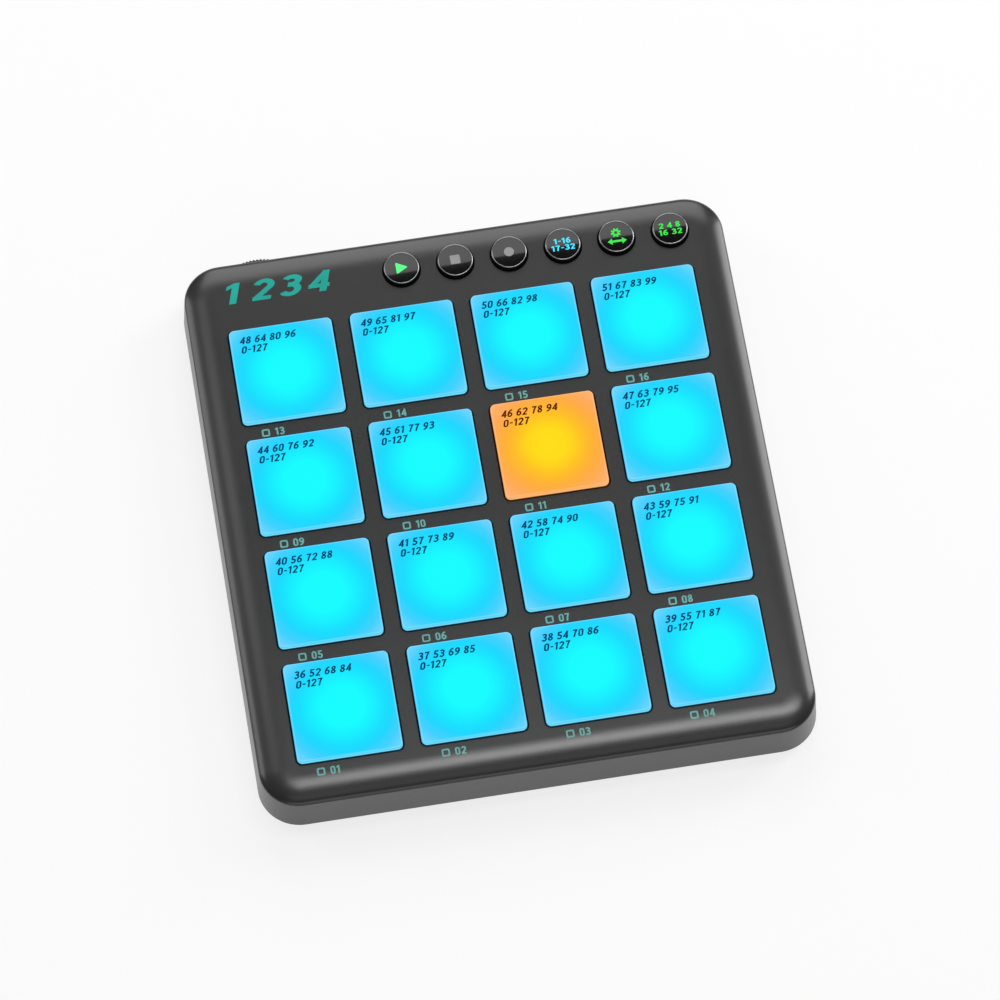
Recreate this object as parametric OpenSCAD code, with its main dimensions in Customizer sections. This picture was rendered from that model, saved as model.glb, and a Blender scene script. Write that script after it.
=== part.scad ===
// Portable pad controller: sixteen lit pads in a four by four field, a row of six
// round buttons behind them and a knurled thumbwheel in the rear wall.
// Millimetres. X runs across, Y runs from front to rear, Z is up from the desk.
// The origin is on the desk, in the middle of the outer box, which takes in the wheel's rim.

/* [Pads] */
// Side of one square pad
pad_size = 25; // [22:0.5:30]
// Bare strip of cover between two pads
pad_gap = 4.5; // [4.2:0.1:7]
// Height of a pad above the cover
pad_rise = 1.2; // [1:0.1:2]
// Radius of a pad's upright corners
pad_corner = 1.3; // [0.8:0.1:2]
// Chamfer round a pad's top face
pad_chamfer = 0.35; // [0.2:0.05:0.6]
// How far a pad goes down when it is struck
pad_travel = 0.8; // [0.4:0.1:0.9]
// Width of the flange that keeps a pad under the cover
pad_flange = 0.9; // [0.6:0.1:1.1]
// Height of the pad flange
pad_flange_t = 0.95; // [0.8:0.05:1.2]
// Wall of the skirt with which a pad presses the sensor film
pad_skirt = 2; // [1.5:0.1:3]
// Distance of that skirt from the flange's edge
pad_skirt_inset = 1.9; // [1.5:0.1:2.5]

/* [Buttons] */
// Diameter of a button cap
button_d = 8.7; // [7.5:0.1:9.5]
// Distance between two buttons
button_pitch = 13.2; // [12.6:0.1:14]
// Place of the first button across the body
button_x = -12.9; // [-15:0.1:-10]
// Distance of the button row from the foot of the rear wall
button_inset = 9.5; // [9:0.1:10]
// Height of a cap's rim above the cover
button_rise = 1.3; // [1:0.05:1.6]
// Depth of the dished middle of a cap
button_dish = 0.1; // [0.1:0.05:0.4]
// Chamfer round a cap
button_chamfer = 0.35; // [0.2:0.05:0.5]
// Width of the flat ring between chamfer and dish
button_land = 0.15; // [0.1:0.05:0.4]
// How far a button goes down
button_travel = 0.4; // [0.2:0.05:0.5]
// Width of the flange that keeps a cap under the cover
button_flange = 0.6; // [0.4:0.1:0.8]
// Height of the cap flange
button_flange_t = 0.8; // [0.6:0.1:1]
// Diameter of the stem under a cap
stem_d = 4; // [3:0.1:5]
// Side of a switch housing
switch_side = 5.2; // [4.5:0.1:6]
// Height of a switch housing
switch_h = 1.6; // [1.4:0.1:1.8]
// Thickness of the floor in a switch housing
switch_floor = 0.3; // [0.2:0.05:0.4]
// Diameter of a switch plunger
plunger_d = 2.4; // [2:0.1:3]
// How far a plunger stands out of its housing
plunger_out = 0.6; // [0.55:0.05:0.8]

/* [Wheel] */
// Diameter of the thumbwheel over its knurls
wheel_d = 30; // [26:0.5:32]
// Thickness of the thumbwheel
wheel_t = 2.6; // [2:0.1:2.8]
// How far the rim stands out behind the foot of the rear wall
wheel_out = 3.1; // [2:0.1:4]
// Distance of the wheel from the left wall's inner face
wheel_side_gap = 2.1; // [1:0.1:4]
// Number of knurls
wheel_knurls = 108; // [80:1:120]
// Depth of the knurls
knurl_depth = 0.4; // [0.2:0.05:0.5]
// Diameter of the wheel's axle
axle_d = 5; // [4:0.1:6]
// Diameter of the fixed base that carries the axle
wheel_base_d = 14; // [12:0.5:18]
// Diameter of the clip that keeps the wheel on its axle
clip_d = 7.4; // [6.8:0.1:9]
// Thickness of that clip
clip_t = 0.4; // [0.3:0.05:0.5]

/* [Shell] */
// Cover and wall beside the pad field
side_margin = 9.95; // [9.6:0.05:12]
// Cover and wall in front of the pad field
front_margin = 10.3; // [9.6:0.05:14]
// Cover and wall behind the pad field
rear_margin = 19.65; // [19:0.05:24]
// Corner radius in plan at the foot of the wall
corner_r = 10; // [9.5:0.1:12]
// How far the wall leans in between its foot and the crease
wall_lean = 0.6; // [0.3:0.05:0.8]
// Width of the rounded edge of the top cover
edge_run = 7.2; // [5:0.1:8]
// Fall of that edge down to the crease, which is also the cover's thickness
edge_drop = 1.9; // [1.6:0.1:2.4]
// Steps in the rounded edge
edge_steps = 12; // [6:1:18]
// Thickness of the side wall at the crease
wall_t = 1.8; // [1.5:0.1:2]
// Thickness of the floor
floor_t = 1.6; // [1.5:0.1:2.4]
// Chamfer under the foot of the wall
foot_chamfer = 0.4; // [0.2:0.1:0.8]
// Depth of the locating lip inside the wall
lip_h = 1.6; // [1:0.1:2.2]
// Thickness of the locating lip
lip_t = 1.2; // [0.8:0.1:1.4]

/* [Inside] */
// Thickness of the silicone mat round the pads
mat_t = 1; // [0.9:0.1:1.3]
// Height of the light grid under the mat
grid_h = 2.5; // [2.4:0.1:3.5]
// Thickness of the sensor film
film_t = 0.3; // [0.2:0.05:0.5]
// Thickness of the circuit board
board_t = 1.2; // [1:0.1:1.6]
// Free height between the board and the floor
under_h = 4.3; // [4:0.1:6]
// Rim of mat, grid and film outside the pad field
deck_rim = 2.1; // [1.7:0.1:2.1]
// Width of the battery
battery_w = 56; // [40:1:70]
// Depth of the battery
battery_l = 46; // [30:1:60]
// Thickness of the battery
battery_t = 2.5; // [2:0.1:2.6]
// Thickness of the tape under the battery
tape_t = 0.2; // [0.1:0.05:0.3]
// Side of a pad's lamp
lamp_side = 3.4; // [2.8:0.1:4]
// Height of a pad's lamp
lamp_h = 0.9; // [0.7:0.1:1.2]
// Width of a button's lamp
button_lamp_w = 1; // [0.6:0.1:1.2]
// Depth of a button's lamp
button_lamp_l = 1.6; // [1:0.1:2]
// Height of a button's lamp
button_lamp_h = 0.6; // [0.4:0.1:0.9]
// Distance of the board's rear edge from the rear wall
board_gap = 1.5; // [0.5:0.1:3]
// Corner radius of the board, the mat, the grid and the film
deck_r = 2; // [1:0.5:4]
// Side of the largest chip
chip_side = 7; // [5:0.5:9]
// Height of a chip
chip_h = 0.9; // [0.6:0.1:1.2]
// Width of the battery connector
connector_w = 6; // [5:0.5:8]
// Depth of the battery connector
connector_l = 4.4; // [4:0.2:6]
// Height of the battery connector
connector_h = 2.6; // [2:0.1:3]
// Wall of the battery connector
connector_t = 0.6; // [0.4:0.1:0.8]
// Distance of the connector from the battery
connector_gap = 4; // [2:0.5:8]

/* [Socket] */
// Width of the data socket
socket_w = 8.94; // [8.9:0.01:9.1]
// Height of the data socket
socket_h = 3.26; // [3.2:0.01:3.4]
// Length of the data socket
socket_l = 7.4; // [6.8:0.1:9]
// Sheet thickness of the socket's shell
socket_t = 0.3; // [0.2:0.05:0.35]
// Width of the tongue in the socket
tongue_w = 6.7; // [6:0.1:7]
// Thickness of the tongue
tongue_t = 0.7; // [0.6:0.05:0.8]
// Length of the tongue
tongue_l = 4.5; // [4:0.1:4.6]
// Length of the block that holds the tongue
tongue_root = 1.8; // [1:0.1:2]
// Place of the socket across the rear wall
socket_x = 0; // [-10:1:30]

/* [Fasteners] */
// Diameter of a case screw
case_screw_d = 2; // [1.6:0.1:2.2]
// Diameter of a case screw's head
case_head_d = 3.8; // [3.4:0.1:4]
// Height of a case screw's head
case_head_h = 1.2; // [1:0.1:1.3]
// Diameter of a case boss
case_boss_d = 5; // [4.8:0.1:5.4]
// Diameter of a board screw
board_screw_d = 1.6; // [1.4:0.1:1.8]
// Diameter of a board screw's head
board_head_d = 3; // [2.6:0.1:3.2]
// Height of a board screw's head
board_head_h = 1; // [0.8:0.1:1.2]
// Diameter of a board boss
board_boss_d = 3.6; // [3.2:0.1:3.8]
// Diameter of a rubber foot
foot_d = 10; // [8:0.5:14]
// Height of a foot under the floor
foot_out = 1.2; // [0.8:0.1:2]
// Depth of a foot's recess in the floor
foot_in = 0.6; // [0.4:0.1:0.8]
// Distance of a foot's middle from the foot of the walls
foot_inset = 13; // [12:0.5:20]

/* [Clearances] */
// Gap round a pad or a cap in its opening
hole_gap = 0.25; // [0.15:0.05:0.4]
// Gap between a flange and the cover above it
seat_gap = 0.05; // [0.02:0.01:0.1]
// Gap round a pad's flange in the mat
flange_gap = 0.2; // [0.15:0.05:0.4]
// Gap left under a part at the end of its travel
stop_gap = 0.1; // [0.05:0.05:0.2]
// Running gap between wheel and axle, on the radius
bore_gap = 0.05; // [0.02:0.01:0.08]
// Running gap over and under the wheel
wheel_gap = 0.2; // [0.15:0.05:0.3]
// Gap round the wheel in its slot
slot_gap = 0.5; // [0.4:0.05:0.8]
// Gap round the socket in the wall
socket_gap = 0.3; // [0.2:0.05:0.5]
// Gap between lip and wall
lip_gap = 0.15; // [0.1:0.05:0.3]
// Gap round fixed pieces that stand in holes
fixed_gap = 0.1; // [0.05:0.05:0.2]
// Gap between a boss and what it stands beside
boss_gap = 0.4; // [0.2:0.05:0.6]

/* [Hidden] */
$fn = 72;
e = 0.01;

pads = 4;
pitch = pad_size + pad_gap;
field = pads * pitch - pad_gap;

body_w = field + 2 * side_margin;
body_d = field + front_margin + rear_margin;
front_y = -(body_d + wheel_out) / 2;
rear_y = front_y + body_d;
body_y = front_y + body_d / 2;
field_y = front_y + front_margin + field / 2;

floor_z = foot_out + floor_t;
board_z = floor_z + under_h;
film_z = board_z + board_t;
grid_z = film_z + film_t;
mat_z = grid_z + grid_h;
crease_z = mat_z + mat_t;
top_z = crease_z + edge_drop;

inset_in = wall_lean + wall_t;
inner_w = body_w - 2 * inset_in;
inner_d = body_d - 2 * inset_in;
inner_r = corner_r - inset_in;
inner_rear_y = rear_y - inset_in;
crease_r = corner_r - wall_lean;

pad_hole = pad_size + 2 * hole_gap;
flange_side = pad_size + 2 * pad_flange;
flange_r = pad_corner + pad_flange / 2;
window = flange_side + 2 * flange_gap;
window_r = flange_r + flange_gap;
flange_z1 = crease_z - seat_gap;
flange_z0 = flange_z1 - pad_flange_t;
skirt_z0 = grid_z + pad_travel + stop_gap;
skirt_side = flange_side - 2 * pad_skirt_inset;
deck = field + 2 * deck_rim;
lamp_window = lamp_side + 6 * fixed_gap;

button_y = rear_y - button_inset;
button_r = button_d / 2;
cap_z1 = top_z + button_rise;
cap_flange_z1 = crease_z - seat_gap;
cap_flange_z0 = cap_flange_z1 - button_flange_t;
cap_flange_r = button_r + hole_gap + button_flange;
plunger_z1 = film_z + switch_h + plunger_out;
plunger_z0 = film_z + switch_floor + stop_gap + button_travel;

wheel_r = wheel_d / 2;
wheel_x = -inner_w / 2 + wheel_side_gap + wheel_r;
wheel_y = rear_y + wheel_out - wheel_r;
wheel_z0 = floor_z + (under_h - wheel_t) / 2;
wheel_z1 = wheel_z0 + wheel_t;
clip_z1 = wheel_z0 - wheel_gap;
slot_reach = wheel_r + slot_gap;
slot_half = sqrt(slot_reach * slot_reach - pow(inner_rear_y - wheel_y, 2)) + slot_gap;

socket_z = board_z - socket_h / 2;
socket_y1 = rear_y - wall_lean;
socket_y0 = socket_y1 - socket_l;
board_rear = inner_rear_y - board_gap;

case_boss_x = inner_w / 2 - case_boss_d / 2 - boss_gap;
case_boss_y = [-2 * pitch + 1, -pitch / 4, 1.5 * pitch];
case_spots = [for (s = [-1, 1], y = case_boss_y) [s * case_boss_x, field_y + y]];
case_seat_z = foot_out + case_head_h + stop_gap;
case_tip_z = crease_z - 1;

rear_boss_y = field_y + deck / 2 + board_boss_d / 2 + boss_gap;
cross_spots = [for (i = [-1:1], j = [-1:1]) [i * pitch, field_y + j * pitch]];
rear_spots = [for (k = [-0.8, 2.5, 4.5]) [button_x + k * button_pitch, rear_boss_y]];
board_spots = concat(cross_spots, rear_spots);
board_tip_z = crease_z - 0.4;

foot_spots = [
    for (s = [-1, 1], t = [-1, 1])
        [s * (body_w / 2 - foot_inset), body_y + t * (body_d / 2 - foot_inset)]
];

cover_grey = [0.27, 0.27, 0.27];
pad_cyan = [0.12, 0.86, 1];
pad_orange = [1, 0.72, 0.2];
cap_black = [0.05, 0.05, 0.055];

// Middle of a pad, counted from the front left corner
function pad_at(i) = [
    ((i - 1) % pads - (pads - 1) / 2) * pitch,
    field_y + (floor((i - 1) / pads) - (pads - 1) / 2) * pitch
];

// Middle of a button, counted from the left
function button_at(k) = [button_x + k * button_pitch, button_y];

// Quarter ellipse from the crease up to the flat of the cover, as inset and height
function edge_curve(z) = [
    for (i = [0:edge_steps])
        let (a = 90 * i / edge_steps)
            [edge_run * (1 - cos(a)), z + edge_drop * sin(a)]
];

// Rectangle with round corners
module round_rect(w, d, r) {
    square([w - 2 * r, d], center = true);
    square([w, d - 2 * r], center = true);
    for (s = [-1, 1], t = [-1, 1])
        translate([s * (w / 2 - r), t * (d / 2 - r)])
            circle(r);
}

// Upright block with round corners
module round_block(w, d, r, z0, z1) {
    translate([0, 0, z0])
        linear_extrude(z1 - z0)
            round_rect(w, d, r);
}

// Section across a slab whose rim is a list of inset and height from the bottom up
module slab_section(half, rim) {
    left = [for (p = rim) [p[0] - half, p[1]]];
    right = [for (i = [len(rim) - 1:-1:0]) [half - rim[i][0], rim[i][1]]];
    polygon(concat(left, right));
}

// Slab with round corners whose rim follows that list all the way round
module rim_slab(w, d, r, rim) {
    last = len(rim) - 1;
    side = [for (p = rim) [r - p[0], p[1]]];
    rotate([90, 0, 90])
        linear_extrude(w - 2 * r, center = true)
            slab_section(d / 2, rim);
    rotate([90, 0, 0])
        linear_extrude(d - 2 * r, center = true)
            slab_section(w / 2, rim);
    for (q = [0:3])
        translate([(q == 0 || q == 3 ? 1 : -1) * (w / 2 - r), (q < 2 ? 1 : -1) * (d / 2 - r), 0])
            rotate([0, 0, 90 * q])
                rotate_extrude(angle = 90)
                    polygon(concat([[0, rim[0][1]]], side, [[0, rim[last][1]]]));
}

// Round posts or holes at a list of places
module posts(spots, d, z0, z1) {
    for (p = spots)
        translate([p[0], p[1], z0])
            cylinder(d = d, h = z1 - z0);
}

// Bar with round ends along Y, for the socket and its opening
module capsule(w, h, y0, y1) {
    translate([0, y1, 0])
        rotate([90, 0, 0])
            linear_extrude(y1 - y0) {
                square([w - h, h], center = true);
                for (s = [-1, 1])
                    translate([s * (w - h) / 2, 0])
                        circle(d = h);
            }
}

// Screw pointing up, with a crossed recess in its head
module screw(d, head_d, head_h, length) {
    arm = head_d * 0.6;
    cut = head_h * 0.5;
    difference() {
        union() {
            translate([0, 0, -head_h])
                cylinder(d = head_d, h = head_h);
            cylinder(d = d, h = length);
        }
        for (a = [0, 90])
            rotate([0, 0, a])
                translate([-arm / 2, -arm / 8, -head_h - e])
                    cube([arm, arm / 4, cut + e]);
    }
}

// One silicone pad, hollow underneath for its lamp
module pad(i) {
    z1 = top_z + pad_rise;
    rim = [[0, flange_z0], [0, z1 - pad_chamfer], [pad_chamfer, z1]];
    hollow = skirt_side - 2 * pad_skirt;
    translate([pad_at(i)[0], pad_at(i)[1], 0])
        difference() {
            union() {
                rim_slab(pad_size, pad_size, pad_corner, rim);
                round_block(flange_side, flange_side, flange_r, flange_z0, flange_z1);
                round_block(skirt_side, skirt_side, pad_corner, skirt_z0, flange_z0 + e);
            }
            round_block(hollow, hollow, pad_corner, skirt_z0 - e, crease_z);
        }
}

// One button cap with its flange and stem, turned in one piece
module cap(k) {
    steps = 6;
    top_r = button_r - button_chamfer;
    dish_r = top_r - button_land;
    dish = [
        for (i = [0:steps])
            let (u = 1 - i / steps)
                [dish_r * u, cap_z1 - button_dish * (1 - u * u)]
    ];
    translate([button_at(k)[0], button_at(k)[1], 0])
        rotate_extrude()
            polygon(concat(
                [[0, plunger_z1], [stem_d / 2, plunger_z1], [stem_d / 2, cap_flange_z0]],
                [[cap_flange_r, cap_flange_z0], [cap_flange_r, cap_flange_z1]],
                [[button_r, cap_flange_z1], [button_r, cap_z1 - button_chamfer], [top_r, cap_z1]],
                dish
            ));
}

// Moving pin of one switch
module plunger(k) {
    translate([button_at(k)[0], button_at(k)[1], plunger_z0])
        cylinder(d = plunger_d, h = plunger_z1 - plunger_z0);
}

module top_cover() {
    color(cover_grey)
        difference() {
            union() {
                translate([0, body_y, 0])
                    rim_slab(body_w - 2 * wall_lean, body_d - 2 * wall_lean, crease_r, edge_curve(crease_z));
                translate([0, body_y, 0])
                    lip();
                posts(case_spots, case_boss_d, board_z, crease_z + e);
                posts(board_spots, board_boss_d, film_z, crease_z + e);
            }
            for (i = [1:pads * pads])
                translate([pad_at(i)[0], pad_at(i)[1], 0])
                    round_block(pad_hole, pad_hole, pad_corner + hole_gap, crease_z - e, top_z + e);
            for (k = [0:5])
                translate([button_at(k)[0], button_at(k)[1], crease_z - e])
                    cylinder(d = button_d + 2 * hole_gap, h = edge_drop + 2 * e);
            posts(case_spots, case_screw_d + fixed_gap / 2, board_z - e, case_tip_z + stop_gap);
            posts(board_spots, board_screw_d + fixed_gap / 2, film_z - e, board_tip_z + stop_gap);
        }
}

// Lip under the cover that locates it in the wall
module lip() {
    out = lip_gap;
    w = inner_w - 2 * out;
    d = inner_d - 2 * out;
    r = inner_r - out;
    difference() {
        round_block(w, d, r, crease_z - lip_h, crease_z + e);
        round_block(w - 2 * lip_t, d - 2 * lip_t, r - lip_t, crease_z - lip_h - e, crease_z + 2 * e);
    }
}

module bottom_cover() {
    rim = [[foot_chamfer, foot_out], [0, foot_out + foot_chamfer], [wall_lean, crease_z]];
    color(cover_grey)
        difference() {
            union() {
                translate([0, body_y, 0])
                    difference() {
                        rim_slab(body_w, body_d, corner_r, rim);
                        round_block(inner_w, inner_d, inner_r, floor_z, crease_z + e);
                    }
                posts(case_spots, case_boss_d, floor_z - e, board_z);
            }
            posts(case_spots, case_head_d + 4 * fixed_gap, foot_out - e, case_seat_z);
            posts(case_spots, case_screw_d + 2 * fixed_gap, foot_out, board_z + e);
            posts(foot_spots, foot_d + 2 * fixed_gap, foot_out - e, foot_out + foot_in);
            translate([wheel_x - slot_half, wheel_y, wheel_z0 - slot_gap])
                cube([2 * slot_half, rear_y - wheel_y + 1, wheel_t + 2 * slot_gap]);
            translate([socket_x, 0, socket_z])
                capsule(socket_w + 2 * socket_gap, socket_h + 2 * socket_gap, inner_rear_y - 1, rear_y + 1);
        }
}

// Sheet over the pad field, notched round the case bosses and drilled for the board bosses
module deck_sheet(z0, z1) {
    difference() {
        translate([0, field_y, 0])
            round_block(deck, deck, deck_r, z0, z1);
        posts(case_spots, case_boss_d + 2 * boss_gap, z0 - e, z1 + e);
        posts(cross_spots, board_boss_d + 2 * fixed_gap, z0 - e, z1 + e);
    }
}

// Sheet with a window under every pad
module windowed_sheet(side, r, z0, z1) {
    difference() {
        deck_sheet(z0, z1);
        for (i = [1:pads * pads])
            translate([pad_at(i)[0], pad_at(i)[1], 0])
                round_block(side, side, r, z0 - e, z1 + e);
    }
}

module pad_mat() {
    color([0.85, 0.9, 0.92])
        windowed_sheet(window, window_r, mat_z, crease_z);
}

module light_grid() {
    color([0.93, 0.93, 0.9])
        windowed_sheet(window, window_r, grid_z, mat_z);
}

module sensor_film() {
    color([0.75, 0.55, 0.2])
        windowed_sheet(lamp_window, 0.4, film_z, grid_z);
}

module main_board() {
    depth = board_rear - (field_y - deck / 2);
    color([0.05, 0.3, 0.18])
        difference() {
            translate([0, board_rear - depth / 2, 0])
                round_block(deck, depth, deck_r, board_z, film_z);
            posts(case_spots, case_boss_d + 2 * boss_gap, board_z - e, film_z + e);
            posts(board_spots, board_screw_d + 2 * fixed_gap, board_z - e, film_z + e);
        }
}

module pad_lamps() {
    color([0.95, 0.95, 0.9])
        for (i = [1:pads * pads])
            translate([pad_at(i)[0], pad_at(i)[1], film_z + lamp_h / 2])
                cube([lamp_side, lamp_side, lamp_h], center = true);
}

module button_lamps() {
    color([0.95, 0.95, 0.9])
        for (k = [0:5])
            translate([button_at(k)[0] + switch_side / 2 + boss_gap, button_y - button_lamp_l / 2, film_z])
                cube([button_lamp_w, button_lamp_l, button_lamp_h]);
}

module switch_housings() {
    color([0.16, 0.16, 0.17])
        for (k = [0:5])
            translate([button_at(k)[0], button_y, film_z])
                difference() {
                    translate([-switch_side / 2, -switch_side / 2, 0])
                        cube([switch_side, switch_side, switch_h]);
                    translate([0, 0, switch_floor])
                        cylinder(d = plunger_d + 2 * fixed_gap, h = switch_h);
                }
}

module socket_shell() {
    color([0.75, 0.75, 0.76])
        translate([socket_x, 0, socket_z])
            difference() {
                capsule(socket_w, socket_h, socket_y0, socket_y1);
                capsule(socket_w - 2 * socket_t, socket_h - 2 * socket_t, socket_y0 + socket_t, socket_y1 + e);
            }
}

module socket_tongue() {
    fit = 2 * (socket_t + fixed_gap / 2);
    y0 = socket_y0 + socket_t;
    color([0.1, 0.1, 0.1])
        translate([socket_x, 0, socket_z]) {
            capsule(socket_w - fit, socket_h - fit, y0, y0 + tongue_root);
            translate([-tongue_w / 2, y0 + tongue_root - e, -tongue_t / 2])
                cube([tongue_w, tongue_l + e, tongue_t]);
        }
}

module board_chips() {
    color([0.08, 0.08, 0.09])
        for (c = [[0.5, 1.5, 1], [1.5, 1.5, 0.7], [-0.5, 1.5, 0.6], [1.5, -1.5, 0.5]])
            let (side = chip_side * c[2])
                translate([c[0] * pitch - side / 2, field_y + c[1] * pitch - side / 2, board_z - chip_h])
                    cube([side, side, chip_h]);
}

module battery() {
    color([0.7, 0.72, 0.75])
        translate([0, field_y, 0])
            round_block(battery_w, battery_l, 2, floor_z + tape_t, floor_z + tape_t + battery_t);
}

module battery_tape() {
    color([0.9, 0.9, 0.85])
        translate([0, field_y, 0])
            round_block(battery_w - 6, battery_l - 6, 1, floor_z, floor_z + tape_t);
}

module battery_connector() {
    color([0.92, 0.9, 0.84])
        translate([battery_w / 2 + connector_gap, field_y + pitch / 2, board_z - connector_h])
            difference() {
                cube([connector_w, connector_l, connector_h]);
                translate([connector_t, -e, connector_t])
                    cube([connector_w - 2 * connector_t, connector_l - connector_t, connector_h - 2 * connector_t]);
            }
}

module wheel_base() {
    color([0.2, 0.2, 0.21])
        translate([wheel_x, wheel_y, 0]) {
            translate([0, 0, wheel_z1 + wheel_gap])
                cylinder(d = wheel_base_d, h = board_z - wheel_z1 - wheel_gap);
            translate([0, 0, clip_z1])
                cylinder(d = axle_d, h = board_z - clip_z1 - e);
        }
}

module wheel_clip() {
    color([0.7, 0.7, 0.72])
        translate([wheel_x, wheel_y, clip_z1 - clip_t])
            cylinder(d = clip_d, h = clip_t);
}

module thumbwheel() {
    rim = [
        for (i = [0:2 * wheel_knurls - 1])
            let (a = 180 * i / wheel_knurls, r = wheel_r - knurl_depth * (i % 2))
                [r * cos(a), r * sin(a)]
    ];
    color([0.12, 0.12, 0.125])
        translate([wheel_x, wheel_y, wheel_z0])
            difference() {
                linear_extrude(wheel_t)
                    polygon(rim);
                translate([0, 0, -e])
                    cylinder(d = axle_d + 2 * bore_gap, h = wheel_t + 2 * e);
            }
}

module case_screws() {
    color([0.3, 0.3, 0.31])
        for (p = case_spots)
            translate([p[0], p[1], case_seat_z])
                screw(case_screw_d, case_head_d, case_head_h, case_tip_z - case_seat_z);
}

module board_screws() {
    color([0.7, 0.7, 0.72])
        for (p = board_spots)
            translate([p[0], p[1], board_z])
                screw(board_screw_d, board_head_d, board_head_h, board_tip_z - board_z);
}

module rubber_feet() {
    color([0.06, 0.06, 0.06])
        for (p = foot_spots)
            translate([p[0], p[1], 0])
                rotate_extrude()
                    polygon([
                        [0, 0], [foot_d / 2 - 0.6, 0], [foot_d / 2, 0.6],
                        [foot_d / 2, foot_out + foot_in], [0, foot_out + foot_in]
                    ]);
}

module pad_1() { color(pad_cyan) pad(1); }
module pad_2() { color(pad_cyan) pad(2); }
module pad_3() { color(pad_cyan) pad(3); }
module pad_4() { color(pad_cyan) pad(4); }
module pad_5() { color(pad_cyan) pad(5); }
module pad_6() { color(pad_cyan) pad(6); }
module pad_7() { color(pad_cyan) pad(7); }
module pad_8() { color(pad_cyan) pad(8); }
module pad_9() { color(pad_cyan) pad(9); }
module pad_10() { color(pad_cyan) pad(10); }
module pad_11() { color(pad_orange) pad(11); }
module pad_12() { color(pad_cyan) pad(12); }
module pad_13() { color(pad_cyan) pad(13); }
module pad_14() { color(pad_cyan) pad(14); }
module pad_15() { color(pad_cyan) pad(15); }
module pad_16() { color(pad_cyan) pad(16); }

module play_cap() { color(cap_black) cap(0); }
module stop_cap() { color(cap_black) cap(1); }
module record_cap() { color(cap_black) cap(2); }
module bank_cap() { color(cap_black) cap(3); }
module shift_cap() { color(cap_black) cap(4); }
module repeat_cap() { color(cap_black) cap(5); }

module play_plunger() { color([0.8, 0.8, 0.78]) plunger(0); }
module stop_plunger() { color([0.8, 0.8, 0.78]) plunger(1); }
module record_plunger() { color([0.8, 0.8, 0.78]) plunger(2); }
module bank_plunger() { color([0.8, 0.8, 0.78]) plunger(3); }
module shift_plunger() { color([0.8, 0.8, 0.78]) plunger(4); }
module repeat_plunger() { color([0.8, 0.8, 0.78]) plunger(5); }

top_cover();
bottom_cover();
pad_mat();
light_grid();
sensor_film();
main_board();
pad_lamps();
button_lamps();
switch_housings();
socket_shell();
socket_tongue();
board_chips();
battery();
battery_tape();
battery_connector();
wheel_base();
wheel_clip();
thumbwheel();
case_screws();
board_screws();
rubber_feet();
pad_1();
pad_2();
pad_3();
pad_4();
pad_5();
pad_6();
pad_7();
pad_8();
pad_9();
pad_10();
pad_11();
pad_12();
pad_13();
pad_14();
pad_15();
pad_16();
play_cap();
stop_cap();
record_cap();
bank_cap();
shift_cap();
repeat_cap();
play_plunger();
stop_plunger();
record_plunger();
bank_plunger();
shift_plunger();
repeat_plunger();
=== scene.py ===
from math import cos, hypot, pi, radians, sin, sqrt

import bpy
from mathutils import Matrix, Vector
from mathutils.geometry import delaunay_2d_cdt


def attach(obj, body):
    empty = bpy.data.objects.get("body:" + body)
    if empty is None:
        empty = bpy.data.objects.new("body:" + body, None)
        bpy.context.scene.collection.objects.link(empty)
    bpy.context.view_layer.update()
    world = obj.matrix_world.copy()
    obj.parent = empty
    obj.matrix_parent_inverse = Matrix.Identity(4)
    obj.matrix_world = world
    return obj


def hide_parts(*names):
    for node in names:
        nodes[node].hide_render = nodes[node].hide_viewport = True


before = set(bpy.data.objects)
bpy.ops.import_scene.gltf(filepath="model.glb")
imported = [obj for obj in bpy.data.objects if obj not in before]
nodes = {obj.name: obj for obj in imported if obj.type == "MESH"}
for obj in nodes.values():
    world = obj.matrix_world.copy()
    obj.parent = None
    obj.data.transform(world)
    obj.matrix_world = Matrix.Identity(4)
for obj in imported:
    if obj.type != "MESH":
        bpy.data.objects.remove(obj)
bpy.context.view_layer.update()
scene = bpy.context.scene
MM = 0.001

# Sizes of the solids in millimetres, as in the part's source
PADS = 4
PITCH = 29.5
PAD = 25.0
PAD_R = 1.3
PAD_TOP = 15.2
FLANGE = 26.8
FLANGE_R = 1.75
FLANGE_Z = (11.1, 12.05)
SKIRT = 23.0
SKIRT_Z = 9.5
HOLLOW = 19.0
FIELD_Y = -6.225
BODY_Y = -1.55
CREASE_W = 132.2
CREASE_D = 142.25
CREASE_R = 9.4
CREASE_Z = 12.1
TOP_Z = 14.0
EDGE_RUN = 7.2
EDGE_DROP = 1.9
HOLE_GAP = 0.25
BUTTON_X = -12.9
BUTTON_PITCH = 13.2
BUTTON_Y = 60.675
STEM_R = 2.0
STEM_Z = 10.5
CAP_R = 4.35
CAP_TOP = 15.3
CAP_FLANGE_R = 5.2
CAP_FLANGE_Z = (11.25, 12.05)
WHEEL_PLACE = (-47.2, 58.275, 0)
WHEEL_R = 15.0
WHEEL_Z = (3.65, 6.25)
BORE_R = 2.55
KNURLS = 108
KNURL_DEPTH = 0.4

# Finer forms that only the scene has, in millimetres
PAD_FILLET = 0.35
HOLE_EDGE = 0.2
# Width round each pad's opening of the band of painted shade on the cover
PAINTED_SHADE_WIDTH = 0.25
CREASE_BACK = 0.1
FACE_R = 4.02
FACE_Z = 15.2
WHEEL_RECESS = 0.3
WHEEL_CHAMFER = (0.45, 0.35)

PAD_COUNT = PADS * PADS
PAD_NUMBERS = range(1, PAD_COUNT + 1)
ORANGE_PAD = 11
MIDDLE = (PADS - 1) / 2
BUTTONS = ["play", "stop", "record", "bank", "shift", "repeat"]
BUTTON_NUMBERS = range(len(BUTTONS))

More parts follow.
